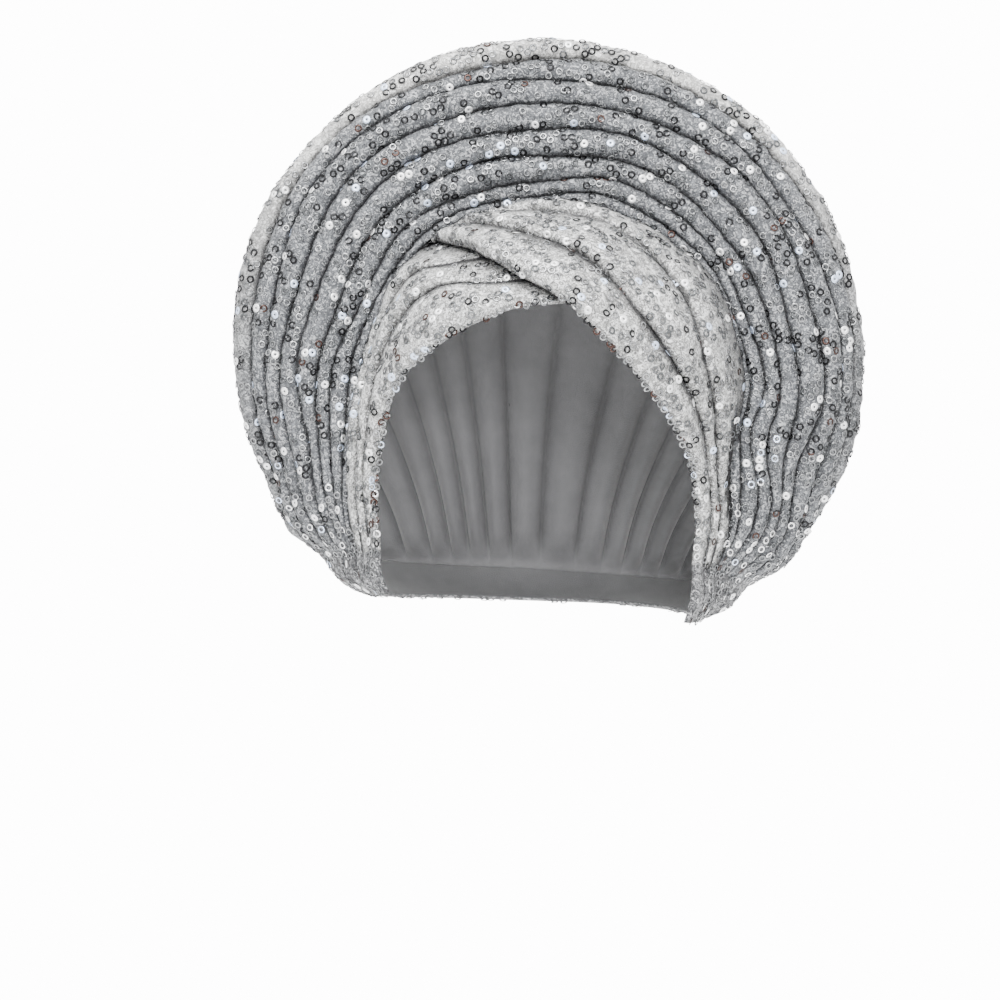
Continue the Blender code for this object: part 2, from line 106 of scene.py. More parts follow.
print("pleats:", len(HALO_CREASES))

# %% [markdown]
# The bands run from their edge round the face up to the halo's root. Their edge is given as a
# longitude round the head and a share of its height. Two creases split each band in three folds.

# %% Band and collar tables
UPPER_BAND = {
    "angle": (-50, -25, 0, 28, 49, 70, 89, 104, 118, 127, 136, 146),
    "longitude": (-46.5, -24.0, -6.5, 8.7, 17.0, 27.0, 35.5, 46.5, 56.0, 61.5, 64.5, 62.0),
    "height": (0.79, 0.872, 0.817, 0.752, 0.69, 0.617, 0.555, 0.474, 0.395, 0.326, 0.237, 0.11),
    "stand": (0.9, 1.0, 1.0, 0.9, 0.5, 0.1, 0.0, 0.05, 0.1, 0.2, 0.3, 0.3),
    "first": (0.58, 0.64, 0.46, 0.31, 0.27, 0.26, 0.28, 0.31, 0.36, 0.38, 0.40, 0.42),
    "second": (0.82, 0.88, 0.86, 0.74, 0.65, 0.59, 0.54, 0.53, 0.58, 0.63, 0.68, 0.70),
}
LOWER_BAND = {
    "angle": (-139, -129, -119, -106, -90, -70, -60, -50),
    "longitude": (-62.0, -64.5, -57.5, -48.0, -34.4, -18.5, -7.5, 8.0),
    "height": (0.13, 0.331, 0.479, 0.573, 0.645, 0.707, 0.735, 0.752),
    "stand": (0.3, 0.2, 0.1, 0.0, 0.0, 0.0, 0.0, 0.0),
    "first": (0.36, 0.38, 0.45, 0.56, 0.62, 0.53, 0.45, 0.22),
    "second": (0.68, 0.69, 0.72, 0.78, 0.82, 0.80, 0.76, 0.56),
}
COLLAR_SECTIONS = {
    "longitude": (62, 74, 90, 112, 150, 180, 210, 248, 270, 286, 298),
    "flare": (0.12, 0.25, 0.60, 0.68, 0.45, 0.36, 0.45, 0.68, 0.60, 0.25, 0.12),
    "top": (0.80, 0.65, 0.30, 0.22, 0.35, 0.50, 0.60, 0.80, 0.92, 1.02, 1.08),
    "bottom": (-0.42, -0.43, -0.42, -0.36, -0.25, -0.20, -0.12, 0.0, 0.10, 0.18, 0.22),
}
CROSSING = -137.0 + 14 * 281.0 / 44
BAND_STAND, CROSSING_STAND = 0.0030, 0.0075
COLLAR_FACE, COLLAR_HALO, COLLAR_CROWN = 62.0, 74.0, 112.0
print("bands cross at", CROSSING, "degrees")

# %% [markdown]
# ## Reading a table smoothly
# Cloth has no corners along a fold, so a table is read on a smooth cubic through its rows. The
# first column says where each row lies.

# %% Small helpers
def smooth(table, column, at):
    places = next(iter(table))
    x, y = np.asarray(table[places], float), np.asarray(table[column], float)
    at = np.clip(np.asarray(at, float), x[0], x[-1])
    slope = np.gradient(y, x)
    i = np.clip(np.searchsorted(x, at, side="right") - 1, 0, len(x) - 2)
    step = x[i + 1] - x[i]
    t = (at - x[i]) / step
    start = (2 * t**3 - 3 * t**2 + 1) * y[i] + (t**3 - 2 * t**2 + t) * step * slope[i]
    return start + (3 * t**2 - 2 * t**3) * y[i + 1] + (t**3 - t**2) * step * slope[i + 1]


def ease(value):
    t = np.clip(value, 0.0, 1.0)
    return t * t * (3 - 2 * t)


def unit(vectors):
    return vectors / np.maximum(np.linalg.norm(vectors, axis=-1, keepdims=True), 1e-12)


print("rim share at the top:", float(smooth(HALO_SECTIONS, "rim", 0)))

# %% [markdown]
# ## The shapes that the cloth follows
# The bands and the collar lie on a head shape: a dome over the brow and straight walls below.
# The halo is a section swept round a middle point, whose rim rolls back. At its ends it is drawn
# on to the collar's upper edge, so that no gap opens there.

# %% Head and collar
def on_head(longitude, height, stand):
    swell = 1 + stand / HALF_WIDTH
    turn = np.radians(longitude)
    share = np.clip((height - BROW_HEIGHT) / (DOME * swell), 0.0, 0.999)
    flat = swell * np.sqrt(1 - share**2)
    x, y = HALF_WIDTH * flat * np.sin(turn), -HALF_DEPTH * flat * np.cos(turn)
    return np.stack([x, y, height + 0 * turn], axis=-1)


def head_place(point):
    x, y, z = point[..., 0] / HALF_WIDTH, point[..., 1] / HALF_DEPTH, point[..., 2]
    over = np.maximum(z - BROW_HEIGHT, 0.0) / DOME
    stand = (np.sqrt(x**2 + y**2 + over**2) - 1) * HALF_WIDTH
    return np.array([np.degrees(np.arctan2(x, -y)), z, stand])


def collar_top(longitude):
    flare = smooth(COLLAR_SECTIONS, "flare", longitude) * HALO_DEPTH
    return on_head(longitude, smooth(COLLAR_SECTIONS, "top", longitude) * COLLAR_HEIGHT, flare)


def collar_bottom(longitude):
    height = smooth(COLLAR_SECTIONS, "bottom", longitude) * COLLAR_HEIGHT
    return on_head(longitude, height, 0.0005 + 0 * height)


print("collar at the nape:", np.round(collar_top(180.0), 3))


# %% Halo shape
def section_line(angle):
    root = smooth(HALO_SECTIONS, "root", angle) * HALO_RADIUS
    rim = smooth(HALO_SECTIONS, "rim", angle) * HALO_RADIUS
    depth = smooth(HALO_SECTIONS, "depth", angle) * HALO_DEPTH
    power = 2 / smooth(HALO_SECTIONS, "square", angle)
    turn = np.linspace(0, math.pi / 2, 181)
    out = root + (rim - root) * np.sin(turn) ** power
    back = -HALO_ROOT_DEPTH + depth * (1 - np.cos(turn) ** power)
    return out, back, np.concatenate([[0], np.cumsum(np.hypot(np.diff(out), np.diff(back)))])


def halo_section(angle, share):
    out, back, along = section_line(angle)
    at = np.asarray(share) * along[-1]
    out, back, lean = np.interp(at, along, out), np.interp(at, along, back), math.radians(angle)
    x, z = HALO_SHIFT + out * math.sin(lean), HALO_HEIGHT + out * math.cos(lean)
    return np.stack([x, back, z], axis=-1)


def halo_base(angle, share):
    points = halo_section(angle, share)
    for side, end in zip((-1, 1), HALO_ENDS):
        pull = float(ease(1 - abs(end - angle) / END_SPAN))
        if pull > 0:
            reach = COLLAR_HALO + (COLLAR_CROWN - COLLAR_HALO) * np.asarray(share)
            target = collar_top(reach if side > 0 else 360 - reach)
            points = points + pull * (target - halo_section(end, share))
    return points


def halo_creases(angle):
    out, _, along = section_line(angle)
    reach = [float(smooth(HALO_CREASES, f"crease_{i}", angle)) for i in range(1, 8)]
    return np.interp(out[0] + (out[-1] - out[0]) * np.array(reach), out, along) / along[-1]


print("creases at the top:", np.round(halo_creases(0), 2))

# %% [markdown]
# ## Folding a cloth
# A pleat is a soft roll, so its section is half an ellipse that stands straight up at each
# crease. Evenly spaced points round the ellipse give more points near the creases, where the
# shape turns fastest. Hand-tied cloth is never regular, so a slow wave changes each roll's height.

# %% Rolls between creases
def rolled(creases, segments, skew=1.0):
    """Shares, lift from 0 to 1, and the roll's number. Skewed rolls lap over the next one."""
    turn = np.linspace(0, math.pi, segments, endpoint=False)
    shares, lifts, numbers = [], [], []
    for number, (a, b) in enumerate(zip(creases, creases[1:])):
        place = (1 - np.cos(turn)) / 2
        shares.append(a + (b - a) * place)
        lifts.append(2 * np.sqrt(place**skew * (1 - place**skew)))
        numbers.append(np.full(segments, number))
    last = ([creases[-1]], [0.0], [len(creases) - 2])
    return [np.concatenate([*parts, end]) for parts, end in zip((shares, lifts, numbers), last)]


def near_crease(shares, creases, length, width=0.0008):
    """1 on a crease, and nearly 0 once that many metres away from it."""
    away = np.abs(np.asarray(shares)[:, None] - np.asarray(creases)[None, :]).min(axis=1)
    return np.exp(-((away * length / width) ** 2))


def wave(place, number, slow=0.11, amount=0.12):
    """1 more or less, slowly changing along a roll and different in each."""
    phase = 2.1 * number
    along = slow * place
    return 1 + amount * (np.sin(along + phase) + 0.5 * np.sin(2.7 * slow * place + 3 * phase))


def crumple(points, size, amount):
    """A small uneven push for each point, from crossing waves of about this size."""
    k = 2 * math.pi / size
    x, y, z = np.moveaxis(points, -1, 0) * k
    a = np.sin(x + 1.7 * np.sin(0.6 * z + 1)) * np.sin(1.3 * z + 0.8 * y + 2 * np.sin(0.5 * x))
    b = np.sin(1.9 * z - 1.1 * x + 3) * np.sin(1.6 * y + 0.7 * z)
    return amount * (0.65 * a + 0.35 * b)


print("one roll:", np.round(rolled((0, 1), 4)[0], 2))

# %% [markdown]
# A cloth is two skins with a rim between them, which makes one closed mesh. The outer skin is
# raised in folds. The inner one follows it by half, as the layers inside fill the rolls. Three
# attributes go with the mesh, and the finishes paint shade and light from them: `fold` is 1 on a
# crest and less where a fold turns away, where painted shade darkens the cloth, `deep` is 1 on the
# thin line of a crease, painted as a dark line of shade, and the third marks the halo's outer roll
# and lip on the side that faces the light above, where a painted highlight makes them paler.

# %% Cloth from two skins
def outward(grid):
    return unit(np.cross(np.gradient(grid, axis=0), np.gradient(grid, axis=1)))


def grid_faces(rows, columns, start, flip):
    index = start + np.arange(rows * columns).reshape(rows, columns)
    corners = [index[:-1, :-1], index[1:, :-1], index[1:, 1:], index[:-1, 1:]]
    faces = np.stack(corners[::-1] if flip else corners, axis=-1)
    return faces.reshape(-1, 4)


def plain_mesh(name, points, faces, attributes, slots=None):
    mesh = bpy.data.meshes.new(name)
    mesh.from_pydata(points.tolist(), [], faces.tolist())
    for label, values in attributes.items():
        mesh.attributes.new(label, "FLOAT", "POINT").data.foreach_set("value", values)
    if slots is not None:
        mesh.polygons.foreach_set("material_index", slots)
    mesh.shade_smooth()
    mesh.validate()
    piece = bpy.data.objects.new(name, mesh)
    bpy.context.collection.objects.link(piece)
    return piece


def cloth(name, outside, inside, fold, deep, rim_highlight=None):
    """One closed mesh from an outer and an inner skin."""
    rows, columns = outside.shape[:2]
    count = rows * columns
    skins = [grid_faces(rows, columns, 0, False), grid_faces(rows, columns, count, True)]
    index = np.arange(count).reshape(rows, columns)
    ring = np.concatenate([index[0], index[1:, -1], index[-1, -2::-1], index[-2:0:-1, 0]])
    after = np.roll(ring, -1)
    skins.append(np.stack([ring, after, after + count, ring + count], axis=-1))
    points = np.concatenate([outside.reshape(-1, 3), inside.reshape(-1, 3)])
    looks = {"fold": fold, "deep": deep, "rim_highlight": 0 * fold if rim_highlight is None else rim_highlight}
    looks = {label: np.tile(values.ravel(), 2).astype(np.float32)
             for label, values in looks.items()}
    slots = np.repeat([0, 1, 0], [len(part) for part in skins]).astype(np.int32)
    piece = plain_mesh(name, points, np.concatenate(skins), looks, slots)
    print(name, len(piece.data.polygons) * 2, "triangles")
    return piece


# %% [markdown]
# ## The halo
# The halo is eight rolls of tulle, one round the other. It could be modelled as eight tubes, but
# the real one is a single cloth, so it is one surface with creases pressed into it. Each station
# round the head gets its own creases from the table. The creases drift and wobble a little, as
# sewn cloth does, and the rolls flatten near the two ends, where they run together at the ears.
# Past the last crease a plain lip rolls back over the rim.

# %% Make the halo
STATIONS, PER_ROLL = 280, 10
PLEAT_RISE, ROUNDNESS, CALM = 0.0046, 0.40, 10.0
DRIFT, WOBBLE = 0.0048, 0.0034
LIP_POINTS, LIP_CREASE = 6, 0.0010


def halo_rows():
    """The halo's base grid, and each point's lift, its fold and deep for painted shade, and its
    painted rim highlight.
    """
    rows, lifts, folds, deeps, rim_highlights = [], [], [], [], []
    for angle in np.linspace(*HALO_ENDS, STATIONS + 1):
        creases = halo_creases(angle)
        which = np.arange(len(creases))
        drift = DRIFT * np.sin(0.13 * angle + 1.9 * which)
        wobble = WOBBLE * np.sin(1.05 * angle + 2.3 * which) * np.sin(0.31 * angle + which)
        creases = creases + drift + wobble
        last = creases[-1] + LIP_SHARE * (1 - creases[-1])
        shares, lift, number = rolled((0.0, *creases, last), PER_ROLL)
        lip = np.linspace(last, 1.0, LIP_POINTS + 1)[1:]
        across = np.concatenate([shares, lip])
        row = halo_base(angle, across)
        length = np.linalg.norm(np.diff(row, axis=0), axis=1).sum()
        width = np.diff((0.0, *creases, last))[number] * length
        calm = ease(min(angle - HALO_ENDS[0], HALO_ENDS[1] - angle) / CALM)
        rise = np.minimum(PLEAT_RISE, ROUNDNESS * width) * wave(angle, number) * calm
        rows.append(row)
        lifts.append(np.concatenate([lift * rise, 0 * lip]))
        # painted shade: fold is the roll's lift, low beside each crease, and deep marks the crease
        # lines and the lip's fold, where the finish darkens the cloth
        folds.append(np.concatenate([lift, 0.35 + 0.65 * ease((lip - last) / (1 - last) * 3)]))
        deeps.append(np.maximum(near_crease(across, (0.0, *creases), length),
                                0.5 * near_crease(across, (last,), length, LIP_CREASE)))
        # painted highlight: the outermost roll and the lip are made paler where the rim faces up to
        # the light above
        lit = 0.10 + 0.90 * ease((math.cos(math.radians(angle)) + 0.2) / 1.1)
        rim_highlights.append(lit * np.concatenate([ease(number - 6.0), 1 + 0 * lip]))
    return [np.array(part) for part in (rows, lifts, folds, deeps, rim_highlights)]


def skins(base, lift, soften=0.5):
    """The outer skin in folds, with small uneven dents, and the inner one that follows it."""
    out = outward(base)
    dent = crumple(base, 0.021, 0.0007) + crumple(base + 0.3, 0.009, 0.0003)
    room = ease(lift / 0.002)
    outside = base + out * (lift + dent * room)[..., None]
    return outside, base + out * (lift * soften - CLOTH)[..., None]


halo_base_grid, halo_lift, halo_fold, halo_deep, halo_rim_highlight = halo_rows()
halo_skin, halo_inner = skins(halo_base_grid, halo_lift)
halo = cloth("halo_cloth", halo_skin, halo_inner, halo_fold, halo_deep, halo_rim_highlight)

# %% [markdown]
# ## The bands
# Two bands frame the face. The right one lies over the left one and reaches up to the forehead,
# where they cross and leave a notch. Both run from the head opening up into the halo's root, and
# each is three folds wide. A fold laps over the one nearer the face, so its rise is skewed and
# only its far side is shaded. The lower band ends flat, tucked under the other.

# %% Lay out a band
TUCK, NOTCH, OPENED_SPAN = 0.010, 28.0, 26.5


def face_edge(table, angle):
    """A band's edge round the face: longitude, height and how far it stands off the head."""
    stand = BAND_STAND + (CROSSING_STAND - BAND_STAND) * smooth(table, "stand", angle)
    along, height = smooth(table, "longitude", angle), smooth(table, "height", angle) * HEAD_TOP
    edge = np.array([along, height, stand])
    if table is not UPPER_BAND:
        return edge
    opened = np.clip((angle - CROSSING) / OPENED_SPAN, 0.06, 1.0)
    root = head_place(halo_base(angle, 0.0))
    return root + opened * (edge - root)


def band_base(table, angle, shares):
    edge, root = face_edge(table, angle), head_place(halo_base(angle, 0.0))
    return on_head(*(a + (b - a) * shares for a, b in zip(edge, root)))


def band_pull(table, angle, end, side, shares):
    """What moves a band's end on to the collar's upper edge."""
    reach = COLLAR_FACE + (COLLAR_HALO - COLLAR_FACE) * shares
    target = collar_top(reach if side > 0 else 360 - reach)
    return ease(1 - abs(end - angle) / END_SPAN) * (target - band_base(table, end, shares))


def tucked_row(shares):
    """The lower band's end, flat under the upper band's edge."""
    angles = NOTCH + (CROSSING - NOTCH) * shares
    longitude, height, over = np.array([face_edge(UPPER_BAND, a) for a in angles]).T
    longitude = longitude + math.degrees(TUCK / HALF_DEPTH) * (1 - shares) ** 1.5
    height = height + 2 * TUCK * shares * (1 - shares) ** 1.5
    row = on_head(longitude, height, np.minimum(BAND_STAND, over - CLOTH - 2 * GAP))
    row[-1] = halo_base(CROSSING, 0.0) + np.array([0.0, 0.002, -0.001])
    return row


print("notch edge:", np.round(face_edge(UPPER_BAND, NOTCH), 3))

# %% Make both bands
PER_FOLD, LAPPED = 14, 0.5
FOLD_RISE, SHADED, DENT, POCKET = 0.0038, 0.0075, 0.0009, 0.0016
CREASE, WIDE_CREASE, POCKET_SHARE, POCKET_WIDTH = 0.0013, 0.0021, 0.84, 0.0022


def band_rows(table, angles, end, side):
    """A band's rows of points, and each point's lift, fold and deep. Side is -1 or 1."""
    rows, lifts, folds, deeps = [], [], [], []
    for angle in angles:
        creases = (0.0, *(float(smooth(table, column, angle)) for column in ("first", "second")),
                   1.0)
        shares, lift, number = rolled(creases, PER_FOLD, LAPPED)
        place = np.append((shares[:-1] - np.array(creases)[number[:-1]])
                          / np.diff(creases)[number[:-1]], 1.0)
        row = band_base(table, angle, shares) + band_pull(table, angle, end, side, shares)
        length = np.linalg.norm(row[-1] - row[0])
        width = np.diff(creases)[number] * length
        calm = ease(abs(end - angle) / CALM)
        if side < 0:
            calm = calm * ease((CROSSING - 2 - angle) / 16)
        rise = np.minimum(FOLD_RISE, ROUNDNESS * width) * calm * wave(angle, number + 1.5)
        # deep is a dark line of painted shade on each crease's closing side, also pressed in as a
        # small dent, and the tuck's pocket adds another
        open_side = (place > 0) & (place < 0.5)
        wide = 1 + 0.9 * ease((45 - angle) / 50) if side > 0 else 1.0
        second = near_crease(shares, creases[2:3], length, WIDE_CREASE if side > 0 else CREASE)
        line = np.maximum(near_crease(shares, creases[1:], length, CREASE * wide), second)
        deep = np.where(open_side, 0.0, line)
        tuck = ease((angle - 96) / 14) * ease((138 - angle) / 12) if side > 0 else 0.0
        pocket = tuck * near_crease(shares, (POCKET_SHARE,), length, POCKET_WIDTH)
        deep = np.maximum(deep, pocket)
        rows.append(row)
        lifts.append(lift * rise - (DENT * deep + POCKET * pocket) * calm * (shares < 0.98))
        # painted shade: fold falls on each fold's far side, where the next fold laps over it, and
        # the third fold darkens towards the halo's root
        shaded = np.minimum(0.6, SHADED * wide / np.maximum(width, SHADED))
        root_shade = 0.62 * ease((angle - 30) / 25) if side > 0 else 0.45
        tone = 1 - root_shade * ease((place - 0.05) / 0.7) * (number == 2)
        folds.append(np.where(place > 0, 1 - ease((place - 1 + shaded) / (0.77 * shaded)),
                              (shares == 0) * 1.0) * tone)
        deeps.append(deep)
    return rows, lifts, folds, deeps


upper_angles = np.linspace(CROSSING, HALO_ENDS[1], 150)
over = [np.array(part) for part in band_rows(UPPER_BAND, upper_angles, HALO_ENDS[1], 1)]
upper_skin, upper_inner = skins(over[0], over[1])
upper = cloth("upper_band_cloth", upper_skin, upper_inner, over[2], over[3])

under = band_rows(LOWER_BAND, np.linspace(HALO_ENDS[0], CROSSING - 6.4, 96), HALO_ENDS[0], -1)
tuck_shares = rolled((0.0, 0.22, 0.56, 1.0), PER_FOLD)[0]
under[0].append(tucked_row(tuck_shares))
under[1].append(0 * tuck_shares)
# painted shadow under the upper band: the tucked row's fold is halved and its deep raised, so the
# finish darkens it
under[2].append(0.5 * under[2][-1])
under[3].append(0.4 + 0.6 * under[3][-1])
under = [np.array(part) for part in under]
lower_skin, lower_inner = skins(under[0], under[1])
lower = cloth("lower_band_cloth", lower_skin, lower_inner, under[2], under[3])

# %% [markdown]
# ## The crown and the collar
# Behind the halo the cloth is drawn smoothly over the back of the head and gathered above the
# collar. The crown hangs between the halo's rim and the collar, so each line down it is a curve
# that leaves the rim straight back and reaches the collar from above. Gathers grow as it falls.
# The collar is a plain strip, and the creases of the bands and the halo run out over it.

# %% Make the crown and the collar
GATHERS = 17
angles = np.linspace(HALO_ENDS[0] + 0.5, HALO_ENDS[1] - 0.5, STATIONS + 1)


def crown_base(angle, shares):
    middle, half = sum(HALO_ENDS) / 2, (HALO_ENDS[1] - HALO_ENDS[0]) / 2
    longitude = 180 - (angle - middle) / half * (180 - COLLAR_CROWN)
    start, end = halo_base(angle, 1.0), collar_top(longitude)
    drop = np.linalg.norm(end - start)
    first = start + np.array([0.0, min(0.080, 0.60 * drop), 0.0])
    second = end + unit(end * [1, 1, 0]) * 0.09 * drop + np.array([0.0, 0.0, 0.34 * drop])
    t = shares[:, None]
    ends = (1 - t) ** 3 * start + t**3 * end
    return ends + 3 * t * (1 - t) ** 2 * first + 3 * t**2 * (1 - t) * second


down = np.linspace(0, 1, 49)
crown_grid = np.array([crown_base(angle, down) for angle in angles])
near_end = np.minimum(angles - HALO_ENDS[0], HALO_ENDS[1] - angles)
turns = (angles - angles[0]) / np.ptp(angles) * GATHERS
turns = turns + 0.35 * np.sin(0.9 * turns + 1)
gather = (np.abs(np.sin(math.pi * turns)) ** 0.8 * ease(near_end / CALM))[:, None]
strength = (ease((down - 0.30) / 0.55) * ease((1.0 - down) / 0.07))[None, :]
crown_lift = 0.0056 * gather * strength
crown_skin, crown_inner = skins(crown_grid, crown_lift, 1.0)
soft = crumple(crown_grid, 0.055, 0.0012) * (ease(down / 0.15) * ease((1 - down) / 0.15))[None, :]
crown_skin = crown_skin + outward(crown_grid) * (soft * ease(near_end / CALM)[:, None])[..., None]
# painted shade: fold is low in the hollows between the gathers, where the finish darkens the cloth
crown_fold = 1 - strength * (1 - gather) ** 2
crown = cloth("crown_cloth", crown_skin, crown_inner, crown_fold, 0 * crown_fold)

round_neck = np.linspace(360 - COLLAR_FACE, COLLAR_FACE, 241)
across = np.linspace(0, 1, 17)[:, None]
collar_grid = np.array([collar_top(a) * (1 - across) + collar_bottom(a) * across
                        for a in round_neck])


def collar_creases(end, table):
    """Longitudes where the folds of a band and of the halo run on over the collar."""
    band = [float(smooth(table, column, end)) for column in ("first", "second")]
    wide = COLLAR_HALO - COLLAR_FACE
    return [COLLAR_FACE + wide * share for share in (*band, 1.0)] + [
        COLLAR_HALO + (COLLAR_CROWN - COLLAR_HALO) * share for share in halo_creases(end)]


right, left = collar_creases(HALO_ENDS[1], UPPER_BAND), collar_creases(HALO_ENDS[0], LOWER_BAND)
lines = np.array(right + [360 - place for place in left])
# painted shade: the creases of the bands and the halo run on over the collar as dark lines, over a
# shallow dent
apart = np.abs(round_neck[:, None] - lines[None, :]).min(axis=1) * math.pi / 180 * 0.085
collar_deep = (np.exp(-((apart / 0.0012) ** 2)))[:, None] * (1 - 0.5 * ease(across.T / 0.9))
swell = np.sin(math.pi * np.tile(across.T, (len(collar_grid), 1)))
collar_lift = 0.0030 * swell - 0.0016 * collar_deep * ease(swell * 3)
collar_skin, collar_inner = skins(collar_grid, collar_lift)
collar_fold = 1 - 0.7 * collar_deep
collar = cloth("collar_cloth", collar_skin, collar_inner, collar_fold, collar_deep)

# %% [markdown]
# ## Ring sequins
# The glitter is thousands of small plastic rings, sewn flat and close but never in rows. One ring
# is a shallow dish with a hole, of a few dozen faces. Geometry Nodes scatter it: points that keep
# a least distance from each other, a ring on each, turned and tipped at random. Each ring stores
# one random number, `tint`, from which its material picks silver, black or copper, and for the
# highest tints white and bluish white, a painted highlight for the glare of rings catching the
# light.

# %% One ring
RING_SIDES, SECTION = 10, 5
# rings whose tint is above this are painted white, a highlight for the glare of a ring that catches
# the light
GLARE_TINT = 0.89


def ring(name, hole, outer, rims, ridge, dish=-0.00010, thick=0.00014):
    """A dished ring. One attribute marks both rims, where the finish paints a dark outline of
    shade, and one marks a short arc, where it paints a lighter highlight.
    """
    turn = np.linspace(0, 2 * math.pi, RING_SIDES, endpoint=False)
    middle = (outer + hole) / 2
    section = [(hole, 0.0), (outer, dish), (outer, dish + thick),
               (middle, dish / 2 + ridge * thick), (hole, thick)]
    points = np.array([[r * math.cos(t), r * math.sin(t), z] for t in turn for r, z in section])
    faces = []
    for side in range(RING_SIDES):
        here, there = SECTION * side, SECTION * ((side + 1) % RING_SIDES)
        for j in range(SECTION):
            after = (j + 1) % SECTION
            faces.append([here + j, there + j, there + after, here + after])
    # painted shade: both rims are marked for a dark outline
    edge = rims * np.tile([1, 1, 1, 0, 1], RING_SIDES).astype(np.float32)
    # painted highlight: two of the ten sides are marked for a lighter arc, the bright gap where a
    # ring's gloss catches the light
    glint_gap = np.repeat(np.arange(RING_SIDES) < 2, SECTION).astype(np.float32) * rims
    return plain_mesh(name, points, np.array(faces), {"edge": edge, "glint_gap": glint_gap})


one_ring = ring("ring", 0.00088, 0.00170, rims=1.0, ridge=1.5)
# the glare ring, flatter and with a smaller hole, carries the white painted highlight
bright_ring = ring("bright_ring", 0.00050, 0.00180, rims=0.3, ridge=1.0)
print("faces in a ring:", len(one_ring.data.polygons))

# %% [markdown]
# A node tree is easier to read when a node is made, set and linked in one line. These helpers do
# that for the trees that sew the rings and for the finishes.

# %% Helpers for node trees
def node_input(tree, node, name, value):
    """Sets an input to a value, or links it to a socket."""
    if isinstance(value, bpy.types.NodeSocket):
        tree.links.new(value, node.inputs[name])
    else:
        node.inputs[name].default_value = value


def add_node(tree, kind, inputs, **settings):
    node = tree.nodes.new(kind)
    for name, value in settings.items():
        setattr(node, name, value)
    for name, value in inputs.items():
        node_input(tree, node, name, value)
    return node


def sum_of(tree, how, *values):
    """What a math node makes of these values."""
    return add_node(tree, "ShaderNodeMath", dict(enumerate(values)), operation=how).outputs[0]


def ramp(tree, value, low, high, first=0.0, last=1.0):
    """The value's way from low to high, as a number from first to last."""
    return add_node(tree, "ShaderNodeMapRange",
                    {"Value": value, 1: low, 2: high, 3: first, 4: last}).outputs[0]


def new_group(name, kind, inputs, outputs):
    """A node group with these sockets: its tree, what it is given and its output node."""
    tree = bpy.data.node_groups.new(name, kind)
    for way, sockets in (("INPUT", inputs), ("OUTPUT", outputs)):
        for label, socket in sockets.items():
            tree.interface.new_socket(label, in_out=way, socket_type=f"NodeSocket{socket}")
    given, out = tree.nodes.new("NodeGroupInput"), tree.nodes.new("NodeGroupOutput")
    return tree, given.outputs, out


def hand_out(tree, sewn, given, out):
    """The last steps of both sewing trees: real rings with their finish."""
    real = add_node(tree, "GeometryNodeRealizeInstances", {"Geometry": sewn})
    finish = add_node(tree, "GeometryNodeSetMaterial",
                      {"Geometry": real.outputs[0], "Material": given["Finish"]})
    tree.links.new(finish.outputs[0], out.inputs["Rings"])
    return tree


